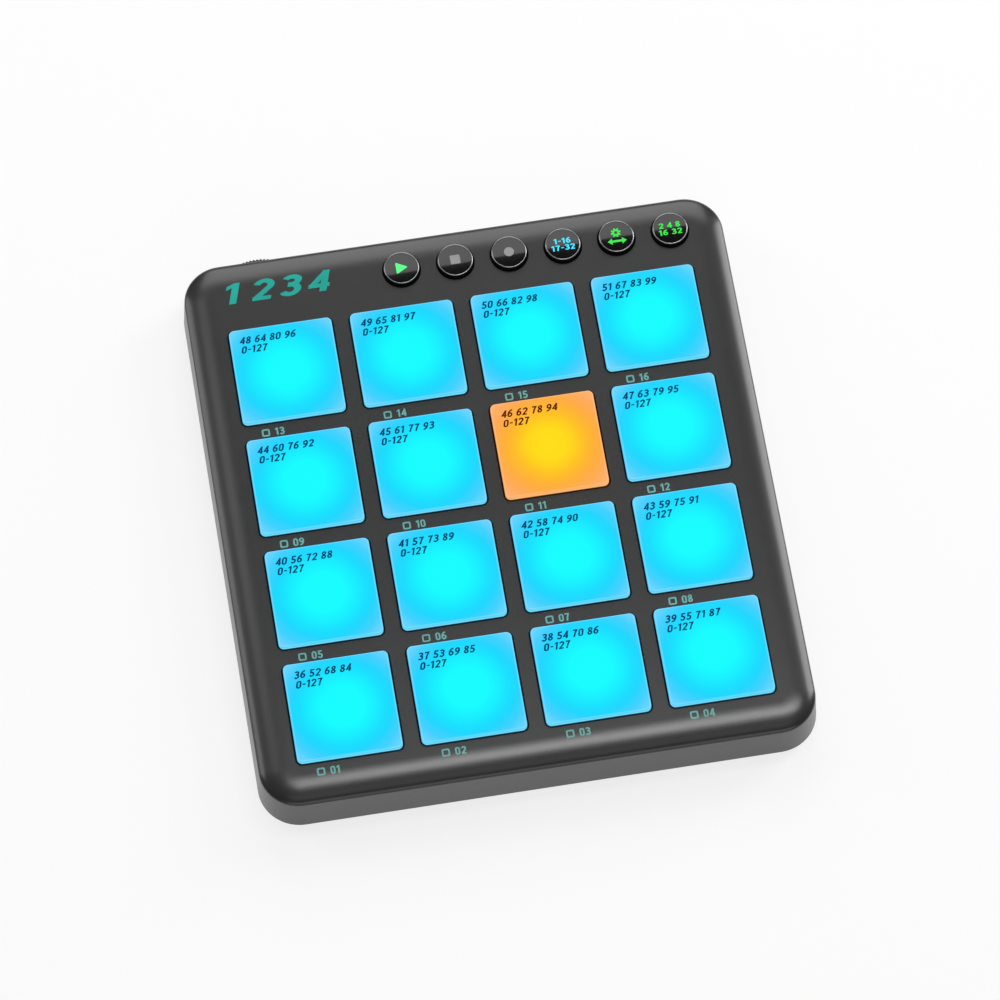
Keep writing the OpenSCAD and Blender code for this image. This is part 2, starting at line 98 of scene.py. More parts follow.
# Kinds of face, by the place of their material in a piece's list
FACE, RIM, SIDE = 0, 1, 2
# The cover's second kind is painted shade: a dark band round the pads' openings
SATIN, PAINTED_SHADE = 0, 1


def cell_at(col, row):
    return (col - MIDDLE) * PITCH, FIELD_Y + (row - MIDDLE) * PITCH


def pad_at(i):
    return cell_at((i - 1) % PADS, (i - 1) // PADS)


def button_at(k):
    return BUTTON_X + k * BUTTON_PITCH, BUTTON_Y


# Colours as they show on a screen, turned into linear light
def linear(level):
    share = level / 255
    if level <= 10:
        return share / 12.92
    return ((share + 0.055) / 1.055) ** 2.4


def tone(r, g, b):
    return linear(r), linear(g), linear(b), 1.0


def scaled(colour, k):
    return tuple(c * k for c in colour[:3]) + (1.0,)


def lighter(stops, k):
    return [(place, tuple(c + (1 - c) * k for c in colour[:3]) + (1.0,)) for place, colour in stops]


# Between these two values lies most of a noise
NOISE_LOW = 0.3
NOISE_HIGH = 0.7
# Scale of the broad mottling of moulded pieces, and how much coarser than the grain their gloss is
MOTTLING = 0.12
COARSER = 0.4


# Node material whose textures are measured in millimetres
class Surface:
    def __init__(self, name):
        self.mat = bpy.data.materials.new(name)
        self.mat.use_nodes = True
        self.tree = self.mat.node_tree
        self.tree.nodes.clear()
        self.out = self.add("ShaderNodeOutputMaterial")
        self.bsdf = self.add("ShaderNodeBsdfPrincipled")
        self.link(self.bsdf, "BSDF", self.out, "Surface")
        coords = self.add("ShaderNodeTexCoord")
        self.mm = self.add("ShaderNodeMapping")
        self.mm.inputs["Scale"].default_value = (1 / MM, 1 / MM, 1 / MM)
        self.link(coords, "Object", self.mm, "Vector")

    def add(self, kind, operation=None):
        node = self.tree.nodes.new(kind)
        if operation:
            node.operation = operation
        return node

    def link(self, a, out, b, into):
        self.tree.links.new(a.outputs[out], b.inputs[into])

    def set(self, **values):
        for key, value in values.items():
            self.bsdf.inputs[key.replace("_", " ")].default_value = value

    def stretch(self, scale):
        node = self.add("ShaderNodeMapping")
        node.inputs["Scale"].default_value = scale
        self.link(self.mm, "Vector", node, "Vector")
        return node

    def noise(self, scale, detail=3.0, rough=0.55, source=None):
        node = self.add("ShaderNodeTexNoise")
        node.inputs["Scale"].default_value = scale
        node.inputs["Detail"].default_value = detail
        node.inputs["Roughness"].default_value = rough
        self.link(source or self.mm, "Vector", node, "Vector")
        return node

    def ramp(self, source, out, stops, socket):
        node = self.add("ShaderNodeValToRGB")
        points = node.color_ramp.elements
        while len(points) < len(stops):
            points.new(0.5)
        for point, (place, colour) in zip(points, stops):
            point.position = place
            point.color = colour
        self.link(source, out, node, "Fac")
        self.link(node, "Color", self.bsdf, socket)

    # Colour between a darker and a lighter tone
    def tint(self, noise, colour, dark, light, low=NOISE_LOW, high=NOISE_HIGH, socket="Base Color"):
        self.ramp(noise, "Fac", [(low, scaled(colour, dark)), (high, scaled(colour, light))], socket)

    # Roughness between two values
    def uneven(self, noise, gloss):
        node = self.add("ShaderNodeMapRange")
        node.inputs["From Min"].default_value = NOISE_LOW
        node.inputs["From Max"].default_value = NOISE_HIGH
        node.inputs["To Min"].default_value = gloss[0]
        node.inputs["To Max"].default_value = gloss[1]
        self.link(noise, "Fac", node, "Value")
        self.link(node, "Result", self.bsdf, "Roughness")

    # Fine relief
    def grained(self, noise, strength, depth):
        node = self.add("ShaderNodeBump")
        node.inputs["Strength"].default_value = strength
        node.inputs["Distance"].default_value = depth * MM
        self.link(noise, "Fac", node, "Height")
        self.link(node, "Normal", self.bsdf, "Normal")

    # Mottled colour, uneven gloss and a fine grain, the three things every moulded piece shows
    def moulded(self, colour, spread, gloss, grain, depth, strength=0.5):
        self.tint(self.noise(MOTTLING), colour, 1 - spread, 1 + spread)
        self.uneven(self.noise(grain * COARSER), gloss)
        self.grained(self.noise(grain, detail=2.0), strength, depth)
        return self

    # Light that changes between two places on the piece, stirred by a noise
    def glow(self, noise, stir, place, out, start, end, stops):
        stirred = self.add("ShaderNodeMath", "MULTIPLY_ADD")
        self.link(noise, "Fac", stirred, 0)
        stirred.inputs[1].default_value = stir
        self.link(place, out, stirred, 2)
        share = self.add("ShaderNodeMapRange")
        share.inputs["From Min"].default_value = start + stir / 2
        share.inputs["From Max"].default_value = end + stir / 2
        self.link(stirred, "Value", share, "Value")
        self.ramp(share, "Result", stops, "Emission Color")


def plastic(name, colour, gloss=(0.4, 0.5), grain=5.0, depth=0.01, spread=0.06, strength=0.5, **more):
    surface = Surface(name).moulded(colour, spread, gloss, grain, depth, strength)
    surface.set(**more)
    return surface.mat


def dull_black(name, colour):
    return plastic(
        name, colour, gloss=(0.5, 0.6), grain=3.0, depth=0.004, spread=0.1, strength=0.3,
        Specular_IOR_Level=0.1,
    )


def cover_ink(name, colour):
    return plastic(
        name, colour, gloss=(0.45, 0.55), grain=3.0, depth=0.004, spread=0.1, Specular_IOR_Level=0.2,
    )


# Brushed metal
def metal(name, colour, gloss=(0.22, 0.36)):
    surface = Surface(name)
    along = surface.stretch((0.4, 9, 9))
    brushed = surface.noise(scale=1.0, detail=4.0, rough=0.6, source=along)
    surface.tint(brushed, colour, dark=0.86, light=1.1, low=0.25, high=0.75)
    surface.uneven(brushed, gloss)
    surface.grained(brushed, strength=0.25, depth=0.004)
    surface.set(Metallic=1.0)
    return surface.mat


SILICONE_GLOSS = (0.5, 0.64)
SILICONE_TINTS = (0.85, 1.15)
# Distance over which the light of a lit pad fades outwards, and height down its side over which painted
# shade darkens the side's glow towards the gap
GLOW_REACH = PAD * 0.72
SIDE_SHADE_DEPTH = 1.8


# Lit silicone: the light of the lamp under the pad fades from the middle to the corners
def lit_pad(name, stops, body, glow):
    surface = Surface(name)
    far = surface.add("ShaderNodeVectorMath", "LENGTH")
    surface.link(surface.stretch((1, 1, 0)), "Vector", far, 0)
    cloud = surface.noise(scale=0.35)
    surface.glow(cloud, stir=0.7, place=far, out="Value", start=0, end=GLOW_REACH, stops=stops)
    grain = surface.noise(scale=4.0, detail=2.0)
    surface.tint(grain, body, *SILICONE_TINTS)
    surface.uneven(grain, SILICONE_GLOSS)
    surface.grained(grain, strength=0.35, depth=0.012)
    surface.set(Emission_Strength=glow, Specular_IOR_Level=0.09)
    return surface.mat


# Side of a lit pad: its glow, darkened with painted shade on the way down into the gap round the pad
def side_glow_painted_shade(name, stops, body):
    surface = Surface(name)
    parts = surface.add("ShaderNodeSeparateXYZ")
    surface.link(surface.mm, "Vector", parts, "Vector")
    cloud = surface.noise(scale=1.5, detail=2.0)
    low = PAD_TOP - SIDE_SHADE_DEPTH
    surface.glow(cloud, stir=0.16, place=parts, out="Z", start=low, end=PAD_TOP, stops=stops)
    surface.tint(cloud, body, *SILICONE_TINTS)
    surface.uneven(cloud, SILICONE_GLOSS)
    surface.set(Emission_Strength=1.0, Specular_IOR_Level=0.12)
    return surface.mat


# Mark that keeps its colour in dim light
def lit_mark(name, colour, glow, gloss=0.2):
    surface = Surface(name)
    surface.moulded(scaled(colour, 0.4), spread=0.1, gloss=(0.35, 0.5), grain=6.0, depth=0.004)
    speck = surface.noise(scale=2.5, detail=2.0)
    surface.tint(speck, colour, dark=0.88, light=1.0, socket="Emission Color")
    surface.set(Emission_Strength=glow, Specular_IOR_Level=gloss)
    return surface.mat


# Light of the pads from the middle to the corners, and of their sides from the gap upwards. The sides'
# colours are their glow with painted shade, dark in the gap, and a painted highlight, a pale band just
# above the cover's top
CYAN_STOPS = [
    (0.0, tone(0, 252, 254)), (0.28, tone(0, 251, 254)), (0.42, tone(0, 238, 254)),
    (0.56, tone(4, 221, 254)), (0.66, tone(20, 212, 254)), (0.79, tone(62, 206, 253)),
    (0.92, tone(104, 210, 252)),
]
ORANGE_STOPS = [
    (0.0, tone(254, 222, 0)), (0.22, tone(254, 219, 2)), (0.33, tone(254, 208, 8)),
    (0.44, tone(254, 191, 24)), (0.58, tone(254, 176, 46)), (0.68, tone(254, 170, 66)),
    (0.79, tone(254, 169, 88)), (0.92, tone(253, 175, 110)),
]
CYAN_SIDE_GLOW_AND_PAINTED_LIGHT = [
    (0.0, tone(0, 14, 20)), (0.12, tone(3, 36, 50)), (0.25, tone(34, 120, 150)),
    (0.35, tone(118, 204, 234)), (0.5, tone(132, 224, 250)), (0.66, tone(94, 210, 246)),
    (1.0, tone(80, 208, 250)),
]
ORANGE_SIDE_GLOW_AND_PAINTED_LIGHT = [
    (0.0, tone(20, 8, 0)), (0.12, tone(56, 26, 3)), (0.25, tone(152, 88, 30)),
    (0.35, tone(236, 166, 102)), (0.5, tone(253, 192, 132)), (0.66, tone(253, 178, 104)),
    (1.0, tone(253, 174, 96)),
]
# Share of white in the light of the pads' rims, a painted highlight along their rounded edges
RIM_PAINTED_HIGHLIGHT = 0.09

COVER = plastic(
    "cover_satin", (0.022, 0.022, 0.022, 1), gloss=(0.22, 0.255), grain=5.5, depth=0.003,
    spread=0.05, strength=0.1, Specular_IOR_Level=0.62,
)
# Painted shade: dull black on the cover round the pads' openings and on their walls, where the gap
# round each pad is in shadow
COVER_PAINTED_SHADE = dull_black("cover_painted_shade_edge", (0.006, 0.007, 0.0075, 1))
TRAY = plastic(
    "tray_satin", (0.05, 0.05, 0.05, 1), gloss=(0.3, 0.36), grain=5.5, depth=0.004,
    spread=0.05, strength=0.12, Specular_IOR_Level=0.62,
)
CYAN_LOOK = [
    lit_pad("cyan_silicone", CYAN_STOPS, (0.002, 0.03, 0.04, 1), glow=0.97),
    # The rims' material is the pad's glow with a painted highlight of white mixed in
    lit_pad("cyan_silicone_painted_highlight_rim", lighter(CYAN_STOPS, RIM_PAINTED_HIGHLIGHT), (0.004, 0.04, 0.05, 1), glow=1.0),
    # The sides' material is their glow with painted shade towards the gap and a painted highlight band
    side_glow_painted_shade("cyan_silicone_side_painted_light", CYAN_SIDE_GLOW_AND_PAINTED_LIGHT, (0.004, 0.02, 0.03, 1)),
]
ORANGE_LOOK = [
    lit_pad("orange_silicone", ORANGE_STOPS, (0.05, 0.02, 0.003, 1), glow=0.97),
    lit_pad("orange_silicone_painted_highlight_rim", lighter(ORANGE_STOPS, RIM_PAINTED_HIGHLIGHT), (0.05, 0.03, 0.005, 1), glow=1.0),
    side_glow_painted_shade("orange_silicone_side_painted_light", ORANGE_SIDE_GLOW_AND_PAINTED_LIGHT, (0.03, 0.012, 0.004, 1)),
]
CAP = plastic(
    "cap_black_lacquer", (0.002, 0.002, 0.0022, 1), gloss=(0.02, 0.035), grain=0.8, depth=0.0005,
    spread=0.1, strength=0.03, Specular_IOR_Level=0.1, Coat_Weight=1.0, Coat_IOR=1.35,
    Coat_Roughness=0.01,
)
CAP_SIDE = dull_black("cap_satin_side", (0.004, 0.004, 0.0042, 1))
# Painted highlight: the black cap's narrow rim made as bright grey metal
CAP_PAINTED_HIGHLIGHT = metal("cap_painted_highlight_edge", (0.3, 0.3, 0.31, 1), gloss=(0.26, 0.38))
WHEEL_BLACK = plastic(
    "wheel_black", (0.005, 0.005, 0.0053, 1), gloss=(0.6, 0.72), grain=4.0, depth=0.015,
    spread=0.12, Specular_IOR_Level=0.1,
)
RUBBER = plastic(
    "foot_rubber_black", (0.012, 0.012, 0.012, 1), gloss=(0.72, 0.86), grain=3.0, depth=0.03,
    spread=0.2, strength=0.7,
)
NAVY_INK = lit_mark("pad_ink_navy", tone(0, 56, 92), glow=1.0, gloss=0.02)
BROWN_INK = lit_mark("pad_ink_brown", tone(76, 22, 0), glow=1.0, gloss=0.02)
TEAL = cover_ink("cover_ink_teal", tone(22, 166, 152))
PALE_TEAL = cover_ink("cover_ink_pale", tone(108, 172, 165))
GREEN_LIT = lit_mark("mark_green", tone(80, 250, 130), glow=0.95)
LIME_LIT = lit_mark("mark_lime", tone(48, 214, 66), glow=0.95)
BLUE_LIT = lit_mark("mark_blue", tone(60, 216, 246), glow=0.95)
GREY_MARK = plastic("mark_grey", tone(146, 146, 148), grain=3.0, depth=0.004, spread=0.08)


# Mesh in millimetres, with a kind for each face
class Shape:
    def __init__(self):
        self.points, self.faces, self.kinds = [], [], []

    def add(self, points):
        first = len(self.points)
        self.points.extend(points)
        return list(range(first, first + len(points)))

    def face(self, loop, kind=0):
        self.faces.append(tuple(loop))
        self.kinds.append(kind)

    def skin(self, a, b, kind=0):
        n = len(a)
        for i in range(n):
            j = (i + 1) % n
            self.face((a[i], a[j], b[j], b[i]), kind)

    # Skin through closed loops. Each kind belongs to the skin after its loop
    def loft(self, loops, kinds):
        rings = [self.add(loop) for loop in loops]
        for i in range(len(rings) - 1):
            self.skin(rings[i], rings[i + 1], kinds[i])
        return rings


# Angles in degrees from which an edge is sharp, on shaped pieces and on printed marks
SHARP = 32
MARK_SHARP = 60


def make(
    name, shape, materials, body, stands_for=(), place=(0, 0, 0), sharp=SHARP, normals=None,
):
    mesh = bpy.data.meshes.new(name)
    mesh.from_pydata([Vector(p) * MM for p in shape.points], [], shape.faces)
    for material in materials:
        mesh.materials.append(material)
    mesh.polygons.foreach_set("material_index", shape.kinds)
    mesh.shade_smooth()
    if normals:
        mesh.normals_split_custom_set_from_vertices(normals)
    else:
        mesh.set_sharp_from_angle(angle=radians(sharp))
    mesh.update()
    piece = bpy.data.objects.new(name, mesh)
    piece.location = Vector(place) * MM
    scene.collection.objects.link(piece)
    if not normals:
        piece.modifiers.new("even_normals", "WEIGHTED_NORMAL").keep_sharp = True
    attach(piece, body)
    if stands_for:
        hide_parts(*stands_for)


# Rounded rectangle, with the number of steps in each corner
def round_rect(w, d, r, steps, cx=0.0, cy=0.0):
    loop = []
    for q in range(4):
        sx, sy = (1, -1, -1, 1)[q], (1, 1, -1, -1)[q]
        for i in range(steps + 1):
            a = radians(90 * (q + i / steps))
            loop.append((cx + sx * (w / 2 - r) + r * cos(a), cy + sy * (d / 2 - r) + r * sin(a)))
    return loop


def circle(r, steps, cx=0.0, cy=0.0):
    turns = [2 * pi * i / steps for i in range(steps)]
    return [(cx + r * cos(a), cy + r * sin(a)) for a in turns]


def lift(loop, z):
    return [(x, y, z) for x, y in loop]


def reach(loop):
    xs = [x for x, y in loop]
    ys = [y for x, y in loop]
    return min(xs), max(xs), min(ys), max(ys)


def inside(point, loop):
    x, y = point
    odd = False
    for i in range(len(loop)):
        (ax, ay), (bx, by) = loop[i - 1], loop[i]
        if (ay > y) != (by > y) and x < ax + (y - ay) * (bx - ax) / (by - ay):
            odd = not odd
    return odd


# Only triangles inside the loops are asked for, and points this close are one
INSIDE_LOOPS = 1
SAME_POINT = 1e-6


# Triangles between closed loops, which may cross
def fill(loops, keep):
    points, edges = [], []
    for loop in loops:
        first = len(points)
        points.extend(Vector(p) for p in loop)
        edges.extend((first + i, first + (i + 1) % len(loop)) for i in range(len(loop)))
    found = delaunay_2d_cdt(points, edges, [], INSIDE_LOOPS, SAME_POINT)
    out, tris = [tuple(p) for p in found[0]], []
    for tri in found[2]:
        a, b, c = (out[i] for i in tri)
        if keep(((a[0] + b[0] + c[0]) / 3, (a[1] + b[1] + c[1]) / 3)):
            turn = (b[0] - a[0]) * (c[1] - a[1]) - (b[1] - a[1]) * (c[0] - a[0])
            tris.append(tuple(tri) if turn > 0 else tuple(reversed(tri)))
    return out, tris


# Sides that belong to one triangle only, in that triangle's direction
def free_sides(tris):
    sides = {}
    for tri in tris:
        for i in range(3):
            sides[(tri[i - 1], tri[i])] = True
    return [(a, b) for a, b in sides if (b, a) not in sides]


# Distance inside a rounded rectangle
def depth_in(x, y, w, d, r):
    qx, qy = abs(x) - (w / 2 - r), abs(y) - (d / 2 - r)
    return r - hypot(max(qx, 0), max(qy, 0)) - min(max(qx, qy), 0)


# Distance inside the crease, where the cover meets the tray
def inside_crease(x, y):
    return depth_in(x, y - BODY_Y, CREASE_W, CREASE_D, CREASE_R)


# Distance outside the opening of the nearest pad
def off_pads(x, y):
    col = min(max(round(x / PITCH + MIDDLE), 0), PADS - 1)
    row = min(max(round((y - FIELD_Y) / PITCH + MIDDLE), 0), PADS - 1)
    px, py = cell_at(col, row)
    side = PAD + 2 * HOLE_GAP
    return -depth_in(x - px, y - py, side, side, PAD_R + HOLE_GAP)


# Distance outside the nearest opening of the cover
def off_holes(x, y):
    best = off_pads(x, y)
    for k in BUTTON_NUMBERS:
        bx, by = button_at(k)
        best = min(best, hypot(x - bx, y - by) - CAP_R - HOLE_GAP)
    return max(best, 0.0)


# Flat in the middle, with a rounded rim and rounded openings
def cover_height(x, y):
    t = min(max(1 - inside_crease(x, y) / EDGE_RUN, 0.0), 1.0)
    z = TOP_Z - EDGE_DROP * (1 - sqrt(1 - t * t))
    d = off_holes(x, y)
    if d < HOLE_EDGE:
        z -= HOLE_EDGE - sqrt(HOLE_EDGE ** 2 - (HOLE_EDGE - d) ** 2)
    return z


def cover_normal(x, y):
    step = 0.004
    dx = (cover_height(x + step, y) - cover_height(x - step, y)) / (2 * step)
    dy = (cover_height(x, y + step) - cover_height(x, y - step)) / (2 * step)
    return Vector((-dx, -dy, 1)).normalized()


# Distances of the cover's loops from the edges of its openings
BUTTON_LOOPS = (0.025, 0.07, HOLE_EDGE)
PAD_LOOPS = BUTTON_LOOPS + (PAINTED_SHADE_WIDTH,)
# Steps of the loops, and the angle in degrees at which the rounded rim starts
RIM_STEPS = 24
RIM_START = 4
RIM_CORNER = 14
PAD_CORNER = 6
BUTTON_ROUND = 64
# A point this close to an edge is on it
NEAR = 0.1
# How far the normals of the crease's small wall lean down
CREASE_LEAN = -0.8


def rim_loop(i):
    a = radians(RIM_START + (90 - RIM_START) * i / RIM_STEPS)
    inset = EDGE_RUN * (1 - cos(a))
    width, depth = CREASE_W - 2 * inset, CREASE_D - 2 * inset
    return round_rect(width, depth, CREASE_R - inset, RIM_CORNER, 0, BODY_Y)


def pad_loop(i, out=0.0):
    x, y = pad_at(i)
    side = PAD + 2 * (HOLE_GAP + out)
    return round_rect(side, side, PAD_R + HOLE_GAP + out, PAD_CORNER, x, y)


def button_loop(k, out=0.0):
    x, y = button_at(k)
    return circle(CAP_R + HOLE_GAP + out, BUTTON_ROUND, x, y)


# Walls from the free sides of the cover's skin down to the crease's level
def cover_walls(shape, normals, flat, free):
    outward = {}
    for a, b in free:
        along = Vector(flat[b]) - Vector(flat[a])
        across = Vector((along.y, -along.x)).normalized()
        for i in (a, b):
            outward[i] = outward.get(i, Vector((0, 0))) + across
    walls = {}
    for i, n in outward.items():
        n.normalize()
        x, y = flat[i]
        at_crease = inside_crease(x, y) < NEAR
        back = CREASE_BACK if at_crease else 0.0
        foot = (x - n.x * back, y - n.y * back, CREASE_Z)
        walls[i] = shape.add([(x, y, cover_height(x, y)), foot])
        facing = Vector((n.x, n.y, CREASE_LEAN if at_crease else 0)).normalized()
        normals.extend([facing, facing])
    for a, b in free:
        # The walls of the pads' openings get painted shade
        kind = PAINTED_SHADE if off_pads(*flat[a]) < NEAR else SATIN
        shape.face((walls[a][0], walls[a][1], walls[b][1], walls[b][0]), kind)
    return walls


# Closed loops at the foot of the walls
def foot_loops(shape, walls, free):
    after, loops = dict(free), []
    while after:
        here, loop = next(iter(after)), []
        while here in after:
            loop.append(shape.points[walls[here][1]][:2])
            here = after.pop(here)
        loops.append(loop)
    return loops


# Top cover: one smooth skin with a rounded rim and rounded openings, with a dark band of painted shade
# round the pads and on the walls of their openings
def top_cover():
    contours = [rim_loop(i) for i in range(RIM_STEPS + 1)]
    holes = [pad_loop(i) for i in PAD_NUMBERS] + [button_loop(k) for k in BUTTON_NUMBERS]
    rings = [pad_loop(i, out) for i in PAD_NUMBERS for out in PAD_LOOPS]
    rings += [button_loop(k, out) for k in BUTTON_NUMBERS for out in BUTTON_LOOPS]
    boxes = [reach(hole) + (hole,) for hole in holes]

    def solid(p):
        x, y = p
        if inside_crease(x, y) < 0:
            return False
        return not any(a < x < b and c < y < d and inside(p, hole) for a, b, c, d, hole in boxes)

    shape = Shape()
    flat, tris = fill(contours + holes + rings, solid)
    shape.add([(x, y, cover_height(x, y)) for x, y in flat])
    normals = [cover_normal(x, y) for x, y in flat]
    for tri in tris:
        x, y = (sum(flat[i][axis] for i in tri) / 3 for axis in (0, 1))
        shape.face(tri, PAINTED_SHADE if off_pads(x, y) < PAINTED_SHADE_WIDTH else SATIN)
    free = free_sides(tris)
    walls = cover_walls(shape, normals, flat, free)
    flat, tris = fill(foot_loops(shape, walls, free), solid)
    base = shape.add(lift(flat, CREASE_Z))
    normals.extend(Vector((0, 0, -1)) for p in flat)
    for tri in tris:
        shape.face([base[i] for i in reversed(tri)])
    looks = [COVER, COVER_PAINTED_SHADE]
    make("cover_skin", shape, looks, "case", ["top_cover"], normals=normals)


# Steps of a pad's corners and of its rounded edge, whose lowest steps belong to the side
PAD_STEPS = 8
FILLET_STEPS = 6
FILLET_SIDE = 2


# Pads: lit top, a rounded rim made paler by a painted highlight, and sides whose glow carries painted
# shade towards the gap, hollow over the lamp
def pad(i):
    loops, kinds = [], []

    def ring(side, r, z, kind=SIDE):
        loops.append(lift(round_rect(side, side, r, PAD_STEPS), z))
        kinds.append(kind)

    ring(HOLLOW, PAD_R, CREASE_Z)
    ring(HOLLOW, PAD_R, SKIRT_Z)
    ring(SKIRT, PAD_R, SKIRT_Z)
    ring(SKIRT, PAD_R, FLANGE_Z[0])
    ring(FLANGE, FLANGE_R, FLANGE_Z[0])
    ring(FLANGE, FLANGE_R, FLANGE_Z[1])
    ring(PAD, PAD_R, FLANGE_Z[1])
    for s in range(FILLET_STEPS + 1):
        a = radians(90 * s / FILLET_STEPS)
        inset = PAD_FILLET * (1 - cos(a))
        drop = PAD_FILLET * (1 - sin(a))
        ring(PAD - 2 * inset, PAD_R - inset, PAD_TOP - drop, RIM if s > FILLET_SIDE else SIDE)
    shape = Shape()
    rings = shape.loft(loops, kinds)
    shape.face(reversed(rings[0]), SIDE)
    shape.face(rings[-1], FACE)
    orange = i == ORANGE_PAD
    looks = ORANGE_LOOK if orange else CYAN_LOOK
    make(f"lit_pad_{i}", shape, looks, f"pad_{i}_body", [f"pad_{i}"], pad_at(i) + (0,))


# Turned shape. Each row of the profile has a radius, a height and the kind of the skin before it
def lathe(profile, steps):
    shape = Shape()
    rings = [shape.add(lift(circle(r, steps), z) if r > 0 else [(0, 0, z)]) for r, z, kind in profile]
    for i in range(len(rings) - 1):
        a, b, kind = rings[i], rings[i + 1], profile[i + 1][2]
        for j in range(steps):
            k = (j + 1) % steps
            if len(a) == 1:
                shape.face((a[0], b[k], b[j]), kind)
            elif len(b) == 1:
                shape.face((a[j], a[k], b[0]), kind)
            else:
                shape.face((a[j], a[k], b[k], b[j]), kind)
    return shape


# A cap's rounded shoulder, as distances from its side and top, and the start of its flat rim
CAP_SHOULDER = ((0.0, 0.22), (0.03, 0.16), (0.12, 0.06))
CAP_RIM = 0.28
# Edge of the sunk face, as distances inside the rim and above the face, and a ring on the face
FACE_EDGE = ((0.05, 0.02), (0.08, 0.0))
FACE_RING = 2.0
CAP_STEPS = 80


# Button caps: a glossy face sunk in a narrow rim of bright grey metal, a painted highlight on the black
# cap's edge, with dull sides
def cap(k):
    low, high = CAP_FLANGE_Z
    profile = [(0, STEM_Z, SIDE), (STEM_R, STEM_Z, SIDE), (STEM_R, low, SIDE)]
    profile += [(CAP_FLANGE_R, low, SIDE), (CAP_FLANGE_R, high, SIDE), (CAP_R, high, SIDE)]
    profile += [(CAP_R - inset, CAP_TOP - drop, SIDE) for inset, drop in CAP_SHOULDER]
    profile += [(CAP_R - CAP_RIM, CAP_TOP, RIM), (FACE_R, CAP_TOP, RIM)]
    profile += [(FACE_R - inset, FACE_Z + rise, FACE) for inset, rise in FACE_EDGE]
    profile += [(FACE_RING, FACE_Z, FACE), (0, FACE_Z, FACE)]
    name = BUTTONS[k]
    shape = lathe(profile, CAP_STEPS)
    looks = [CAP, CAP_PAINTED_HIGHLIGHT, CAP_SIDE]
    place = button_at(k) + (0,)
    make(f"{name}_sunk_cap", shape, looks, f"{name}_button", [f"{name}_cap"], place)


# Corners of one knurl, as shares of the knurls' pitch, and their depths
KNURL_SHARES = (0.0, 0.3, 0.6, 0.9)
KNURL_DEPTHS = (KNURL_DEPTH, 0.0, 0.0, KNURL_DEPTH)
# Radii of the steps round the hub and inside the rim
HUB_R = (4.4, 4.6)
WEB_R = (12.6, 12.9)


# Thumbwheel with flat topped knurls, chamfered rims and a stepped hub
def thumbwheel():
    def around(radii):
        loop = []
        for i in range(KNURLS):
            for share, r in zip(KNURL_SHARES, radii):
                a = 2 * pi * (i + share) / KNURLS
                loop.append((r * cos(a), r * sin(a)))
        return loop

    def ring(r):
        return around([r] * len(KNURL_SHARES))

    def rim(cut):
        return around([WHEEL_R - max(depth, cut) for depth in KNURL_DEPTHS])

    inset, rise = WHEEL_CHAMFER
    half = [
        (ring(BORE_R), 0), (ring(HUB_R[0]), 0), (ring(HUB_R[1]), WHEEL_RECESS),
        (ring(WEB_R[0]), WHEEL_RECESS), (ring(WEB_R[1]), 0), (rim(inset), 0), (rim(0.0), rise),
    ]
    z0, z1 = WHEEL_Z
    loops = [lift(loop, z0 + up) for loop, up in half]
    loops += [lift(loop, z1 - up) for loop, up in reversed(half)]
    shape = Shape()
    rings = shape.loft(loops, [FACE] * len(loops))
    shape.skin(rings[-1], rings[0])
    looks = [WHEEL_BLACK]
    make("knurled_wheel", shape, looks, "wheel_body", ["thumbwheel"], WHEEL_PLACE)


FIGURE_WIDTH = 0.56
# Limit of a stroke's reach at a sharp bend
SHARP_BEND = 0.4


# Figures drawn with bold strokes in a box one unit high. Each area has an outer and an inner loop
def stroke(path, width=0.19):
    left, right = [], []
    for i, point in enumerate(path):
        p, ways = Vector(point), []
        if i > 0:
            ways.append((p - Vector(path[i - 1])).normalized())
        if i < len(path) - 1:
            ways.append((Vector(path[i + 1]) - p).normalized())
        way = (ways[0] + ways[-1]).normalized()
        side = Vector((-way.y, way.x))
        away = width / 2 / max(way.dot(ways[0]), SHARP_BEND)
        left.append(tuple(p + side * away))
        right.append(tuple(p - side * away))
    return left + right[::-1], None


def arc(cx, cy, rx, ry, start, end, steps=14):
    turns = [radians(start + (end - start) * i / steps) for i in range(steps + 1)]
    return [(cx + rx * cos(a), cy + ry * sin(a)) for a in turns]


def block(x0, y0, x1, y1):
    return [(x0, y0), (x1, y0), (x1, y1), (x0, y1)], None


# Closed ring with a point at every 15 degrees
def loop_ring(cx, cy, rx, ry, wall=0.185):
    return arc(cx, cy, rx, ry, 0, 345, 23), arc(cx, cy, rx - wall, ry - wall, 0, 345, 23)


def half_turn(loop):
    return loop and [(FIGURE_WIDTH - x, 1 - y) for x, y in loop]


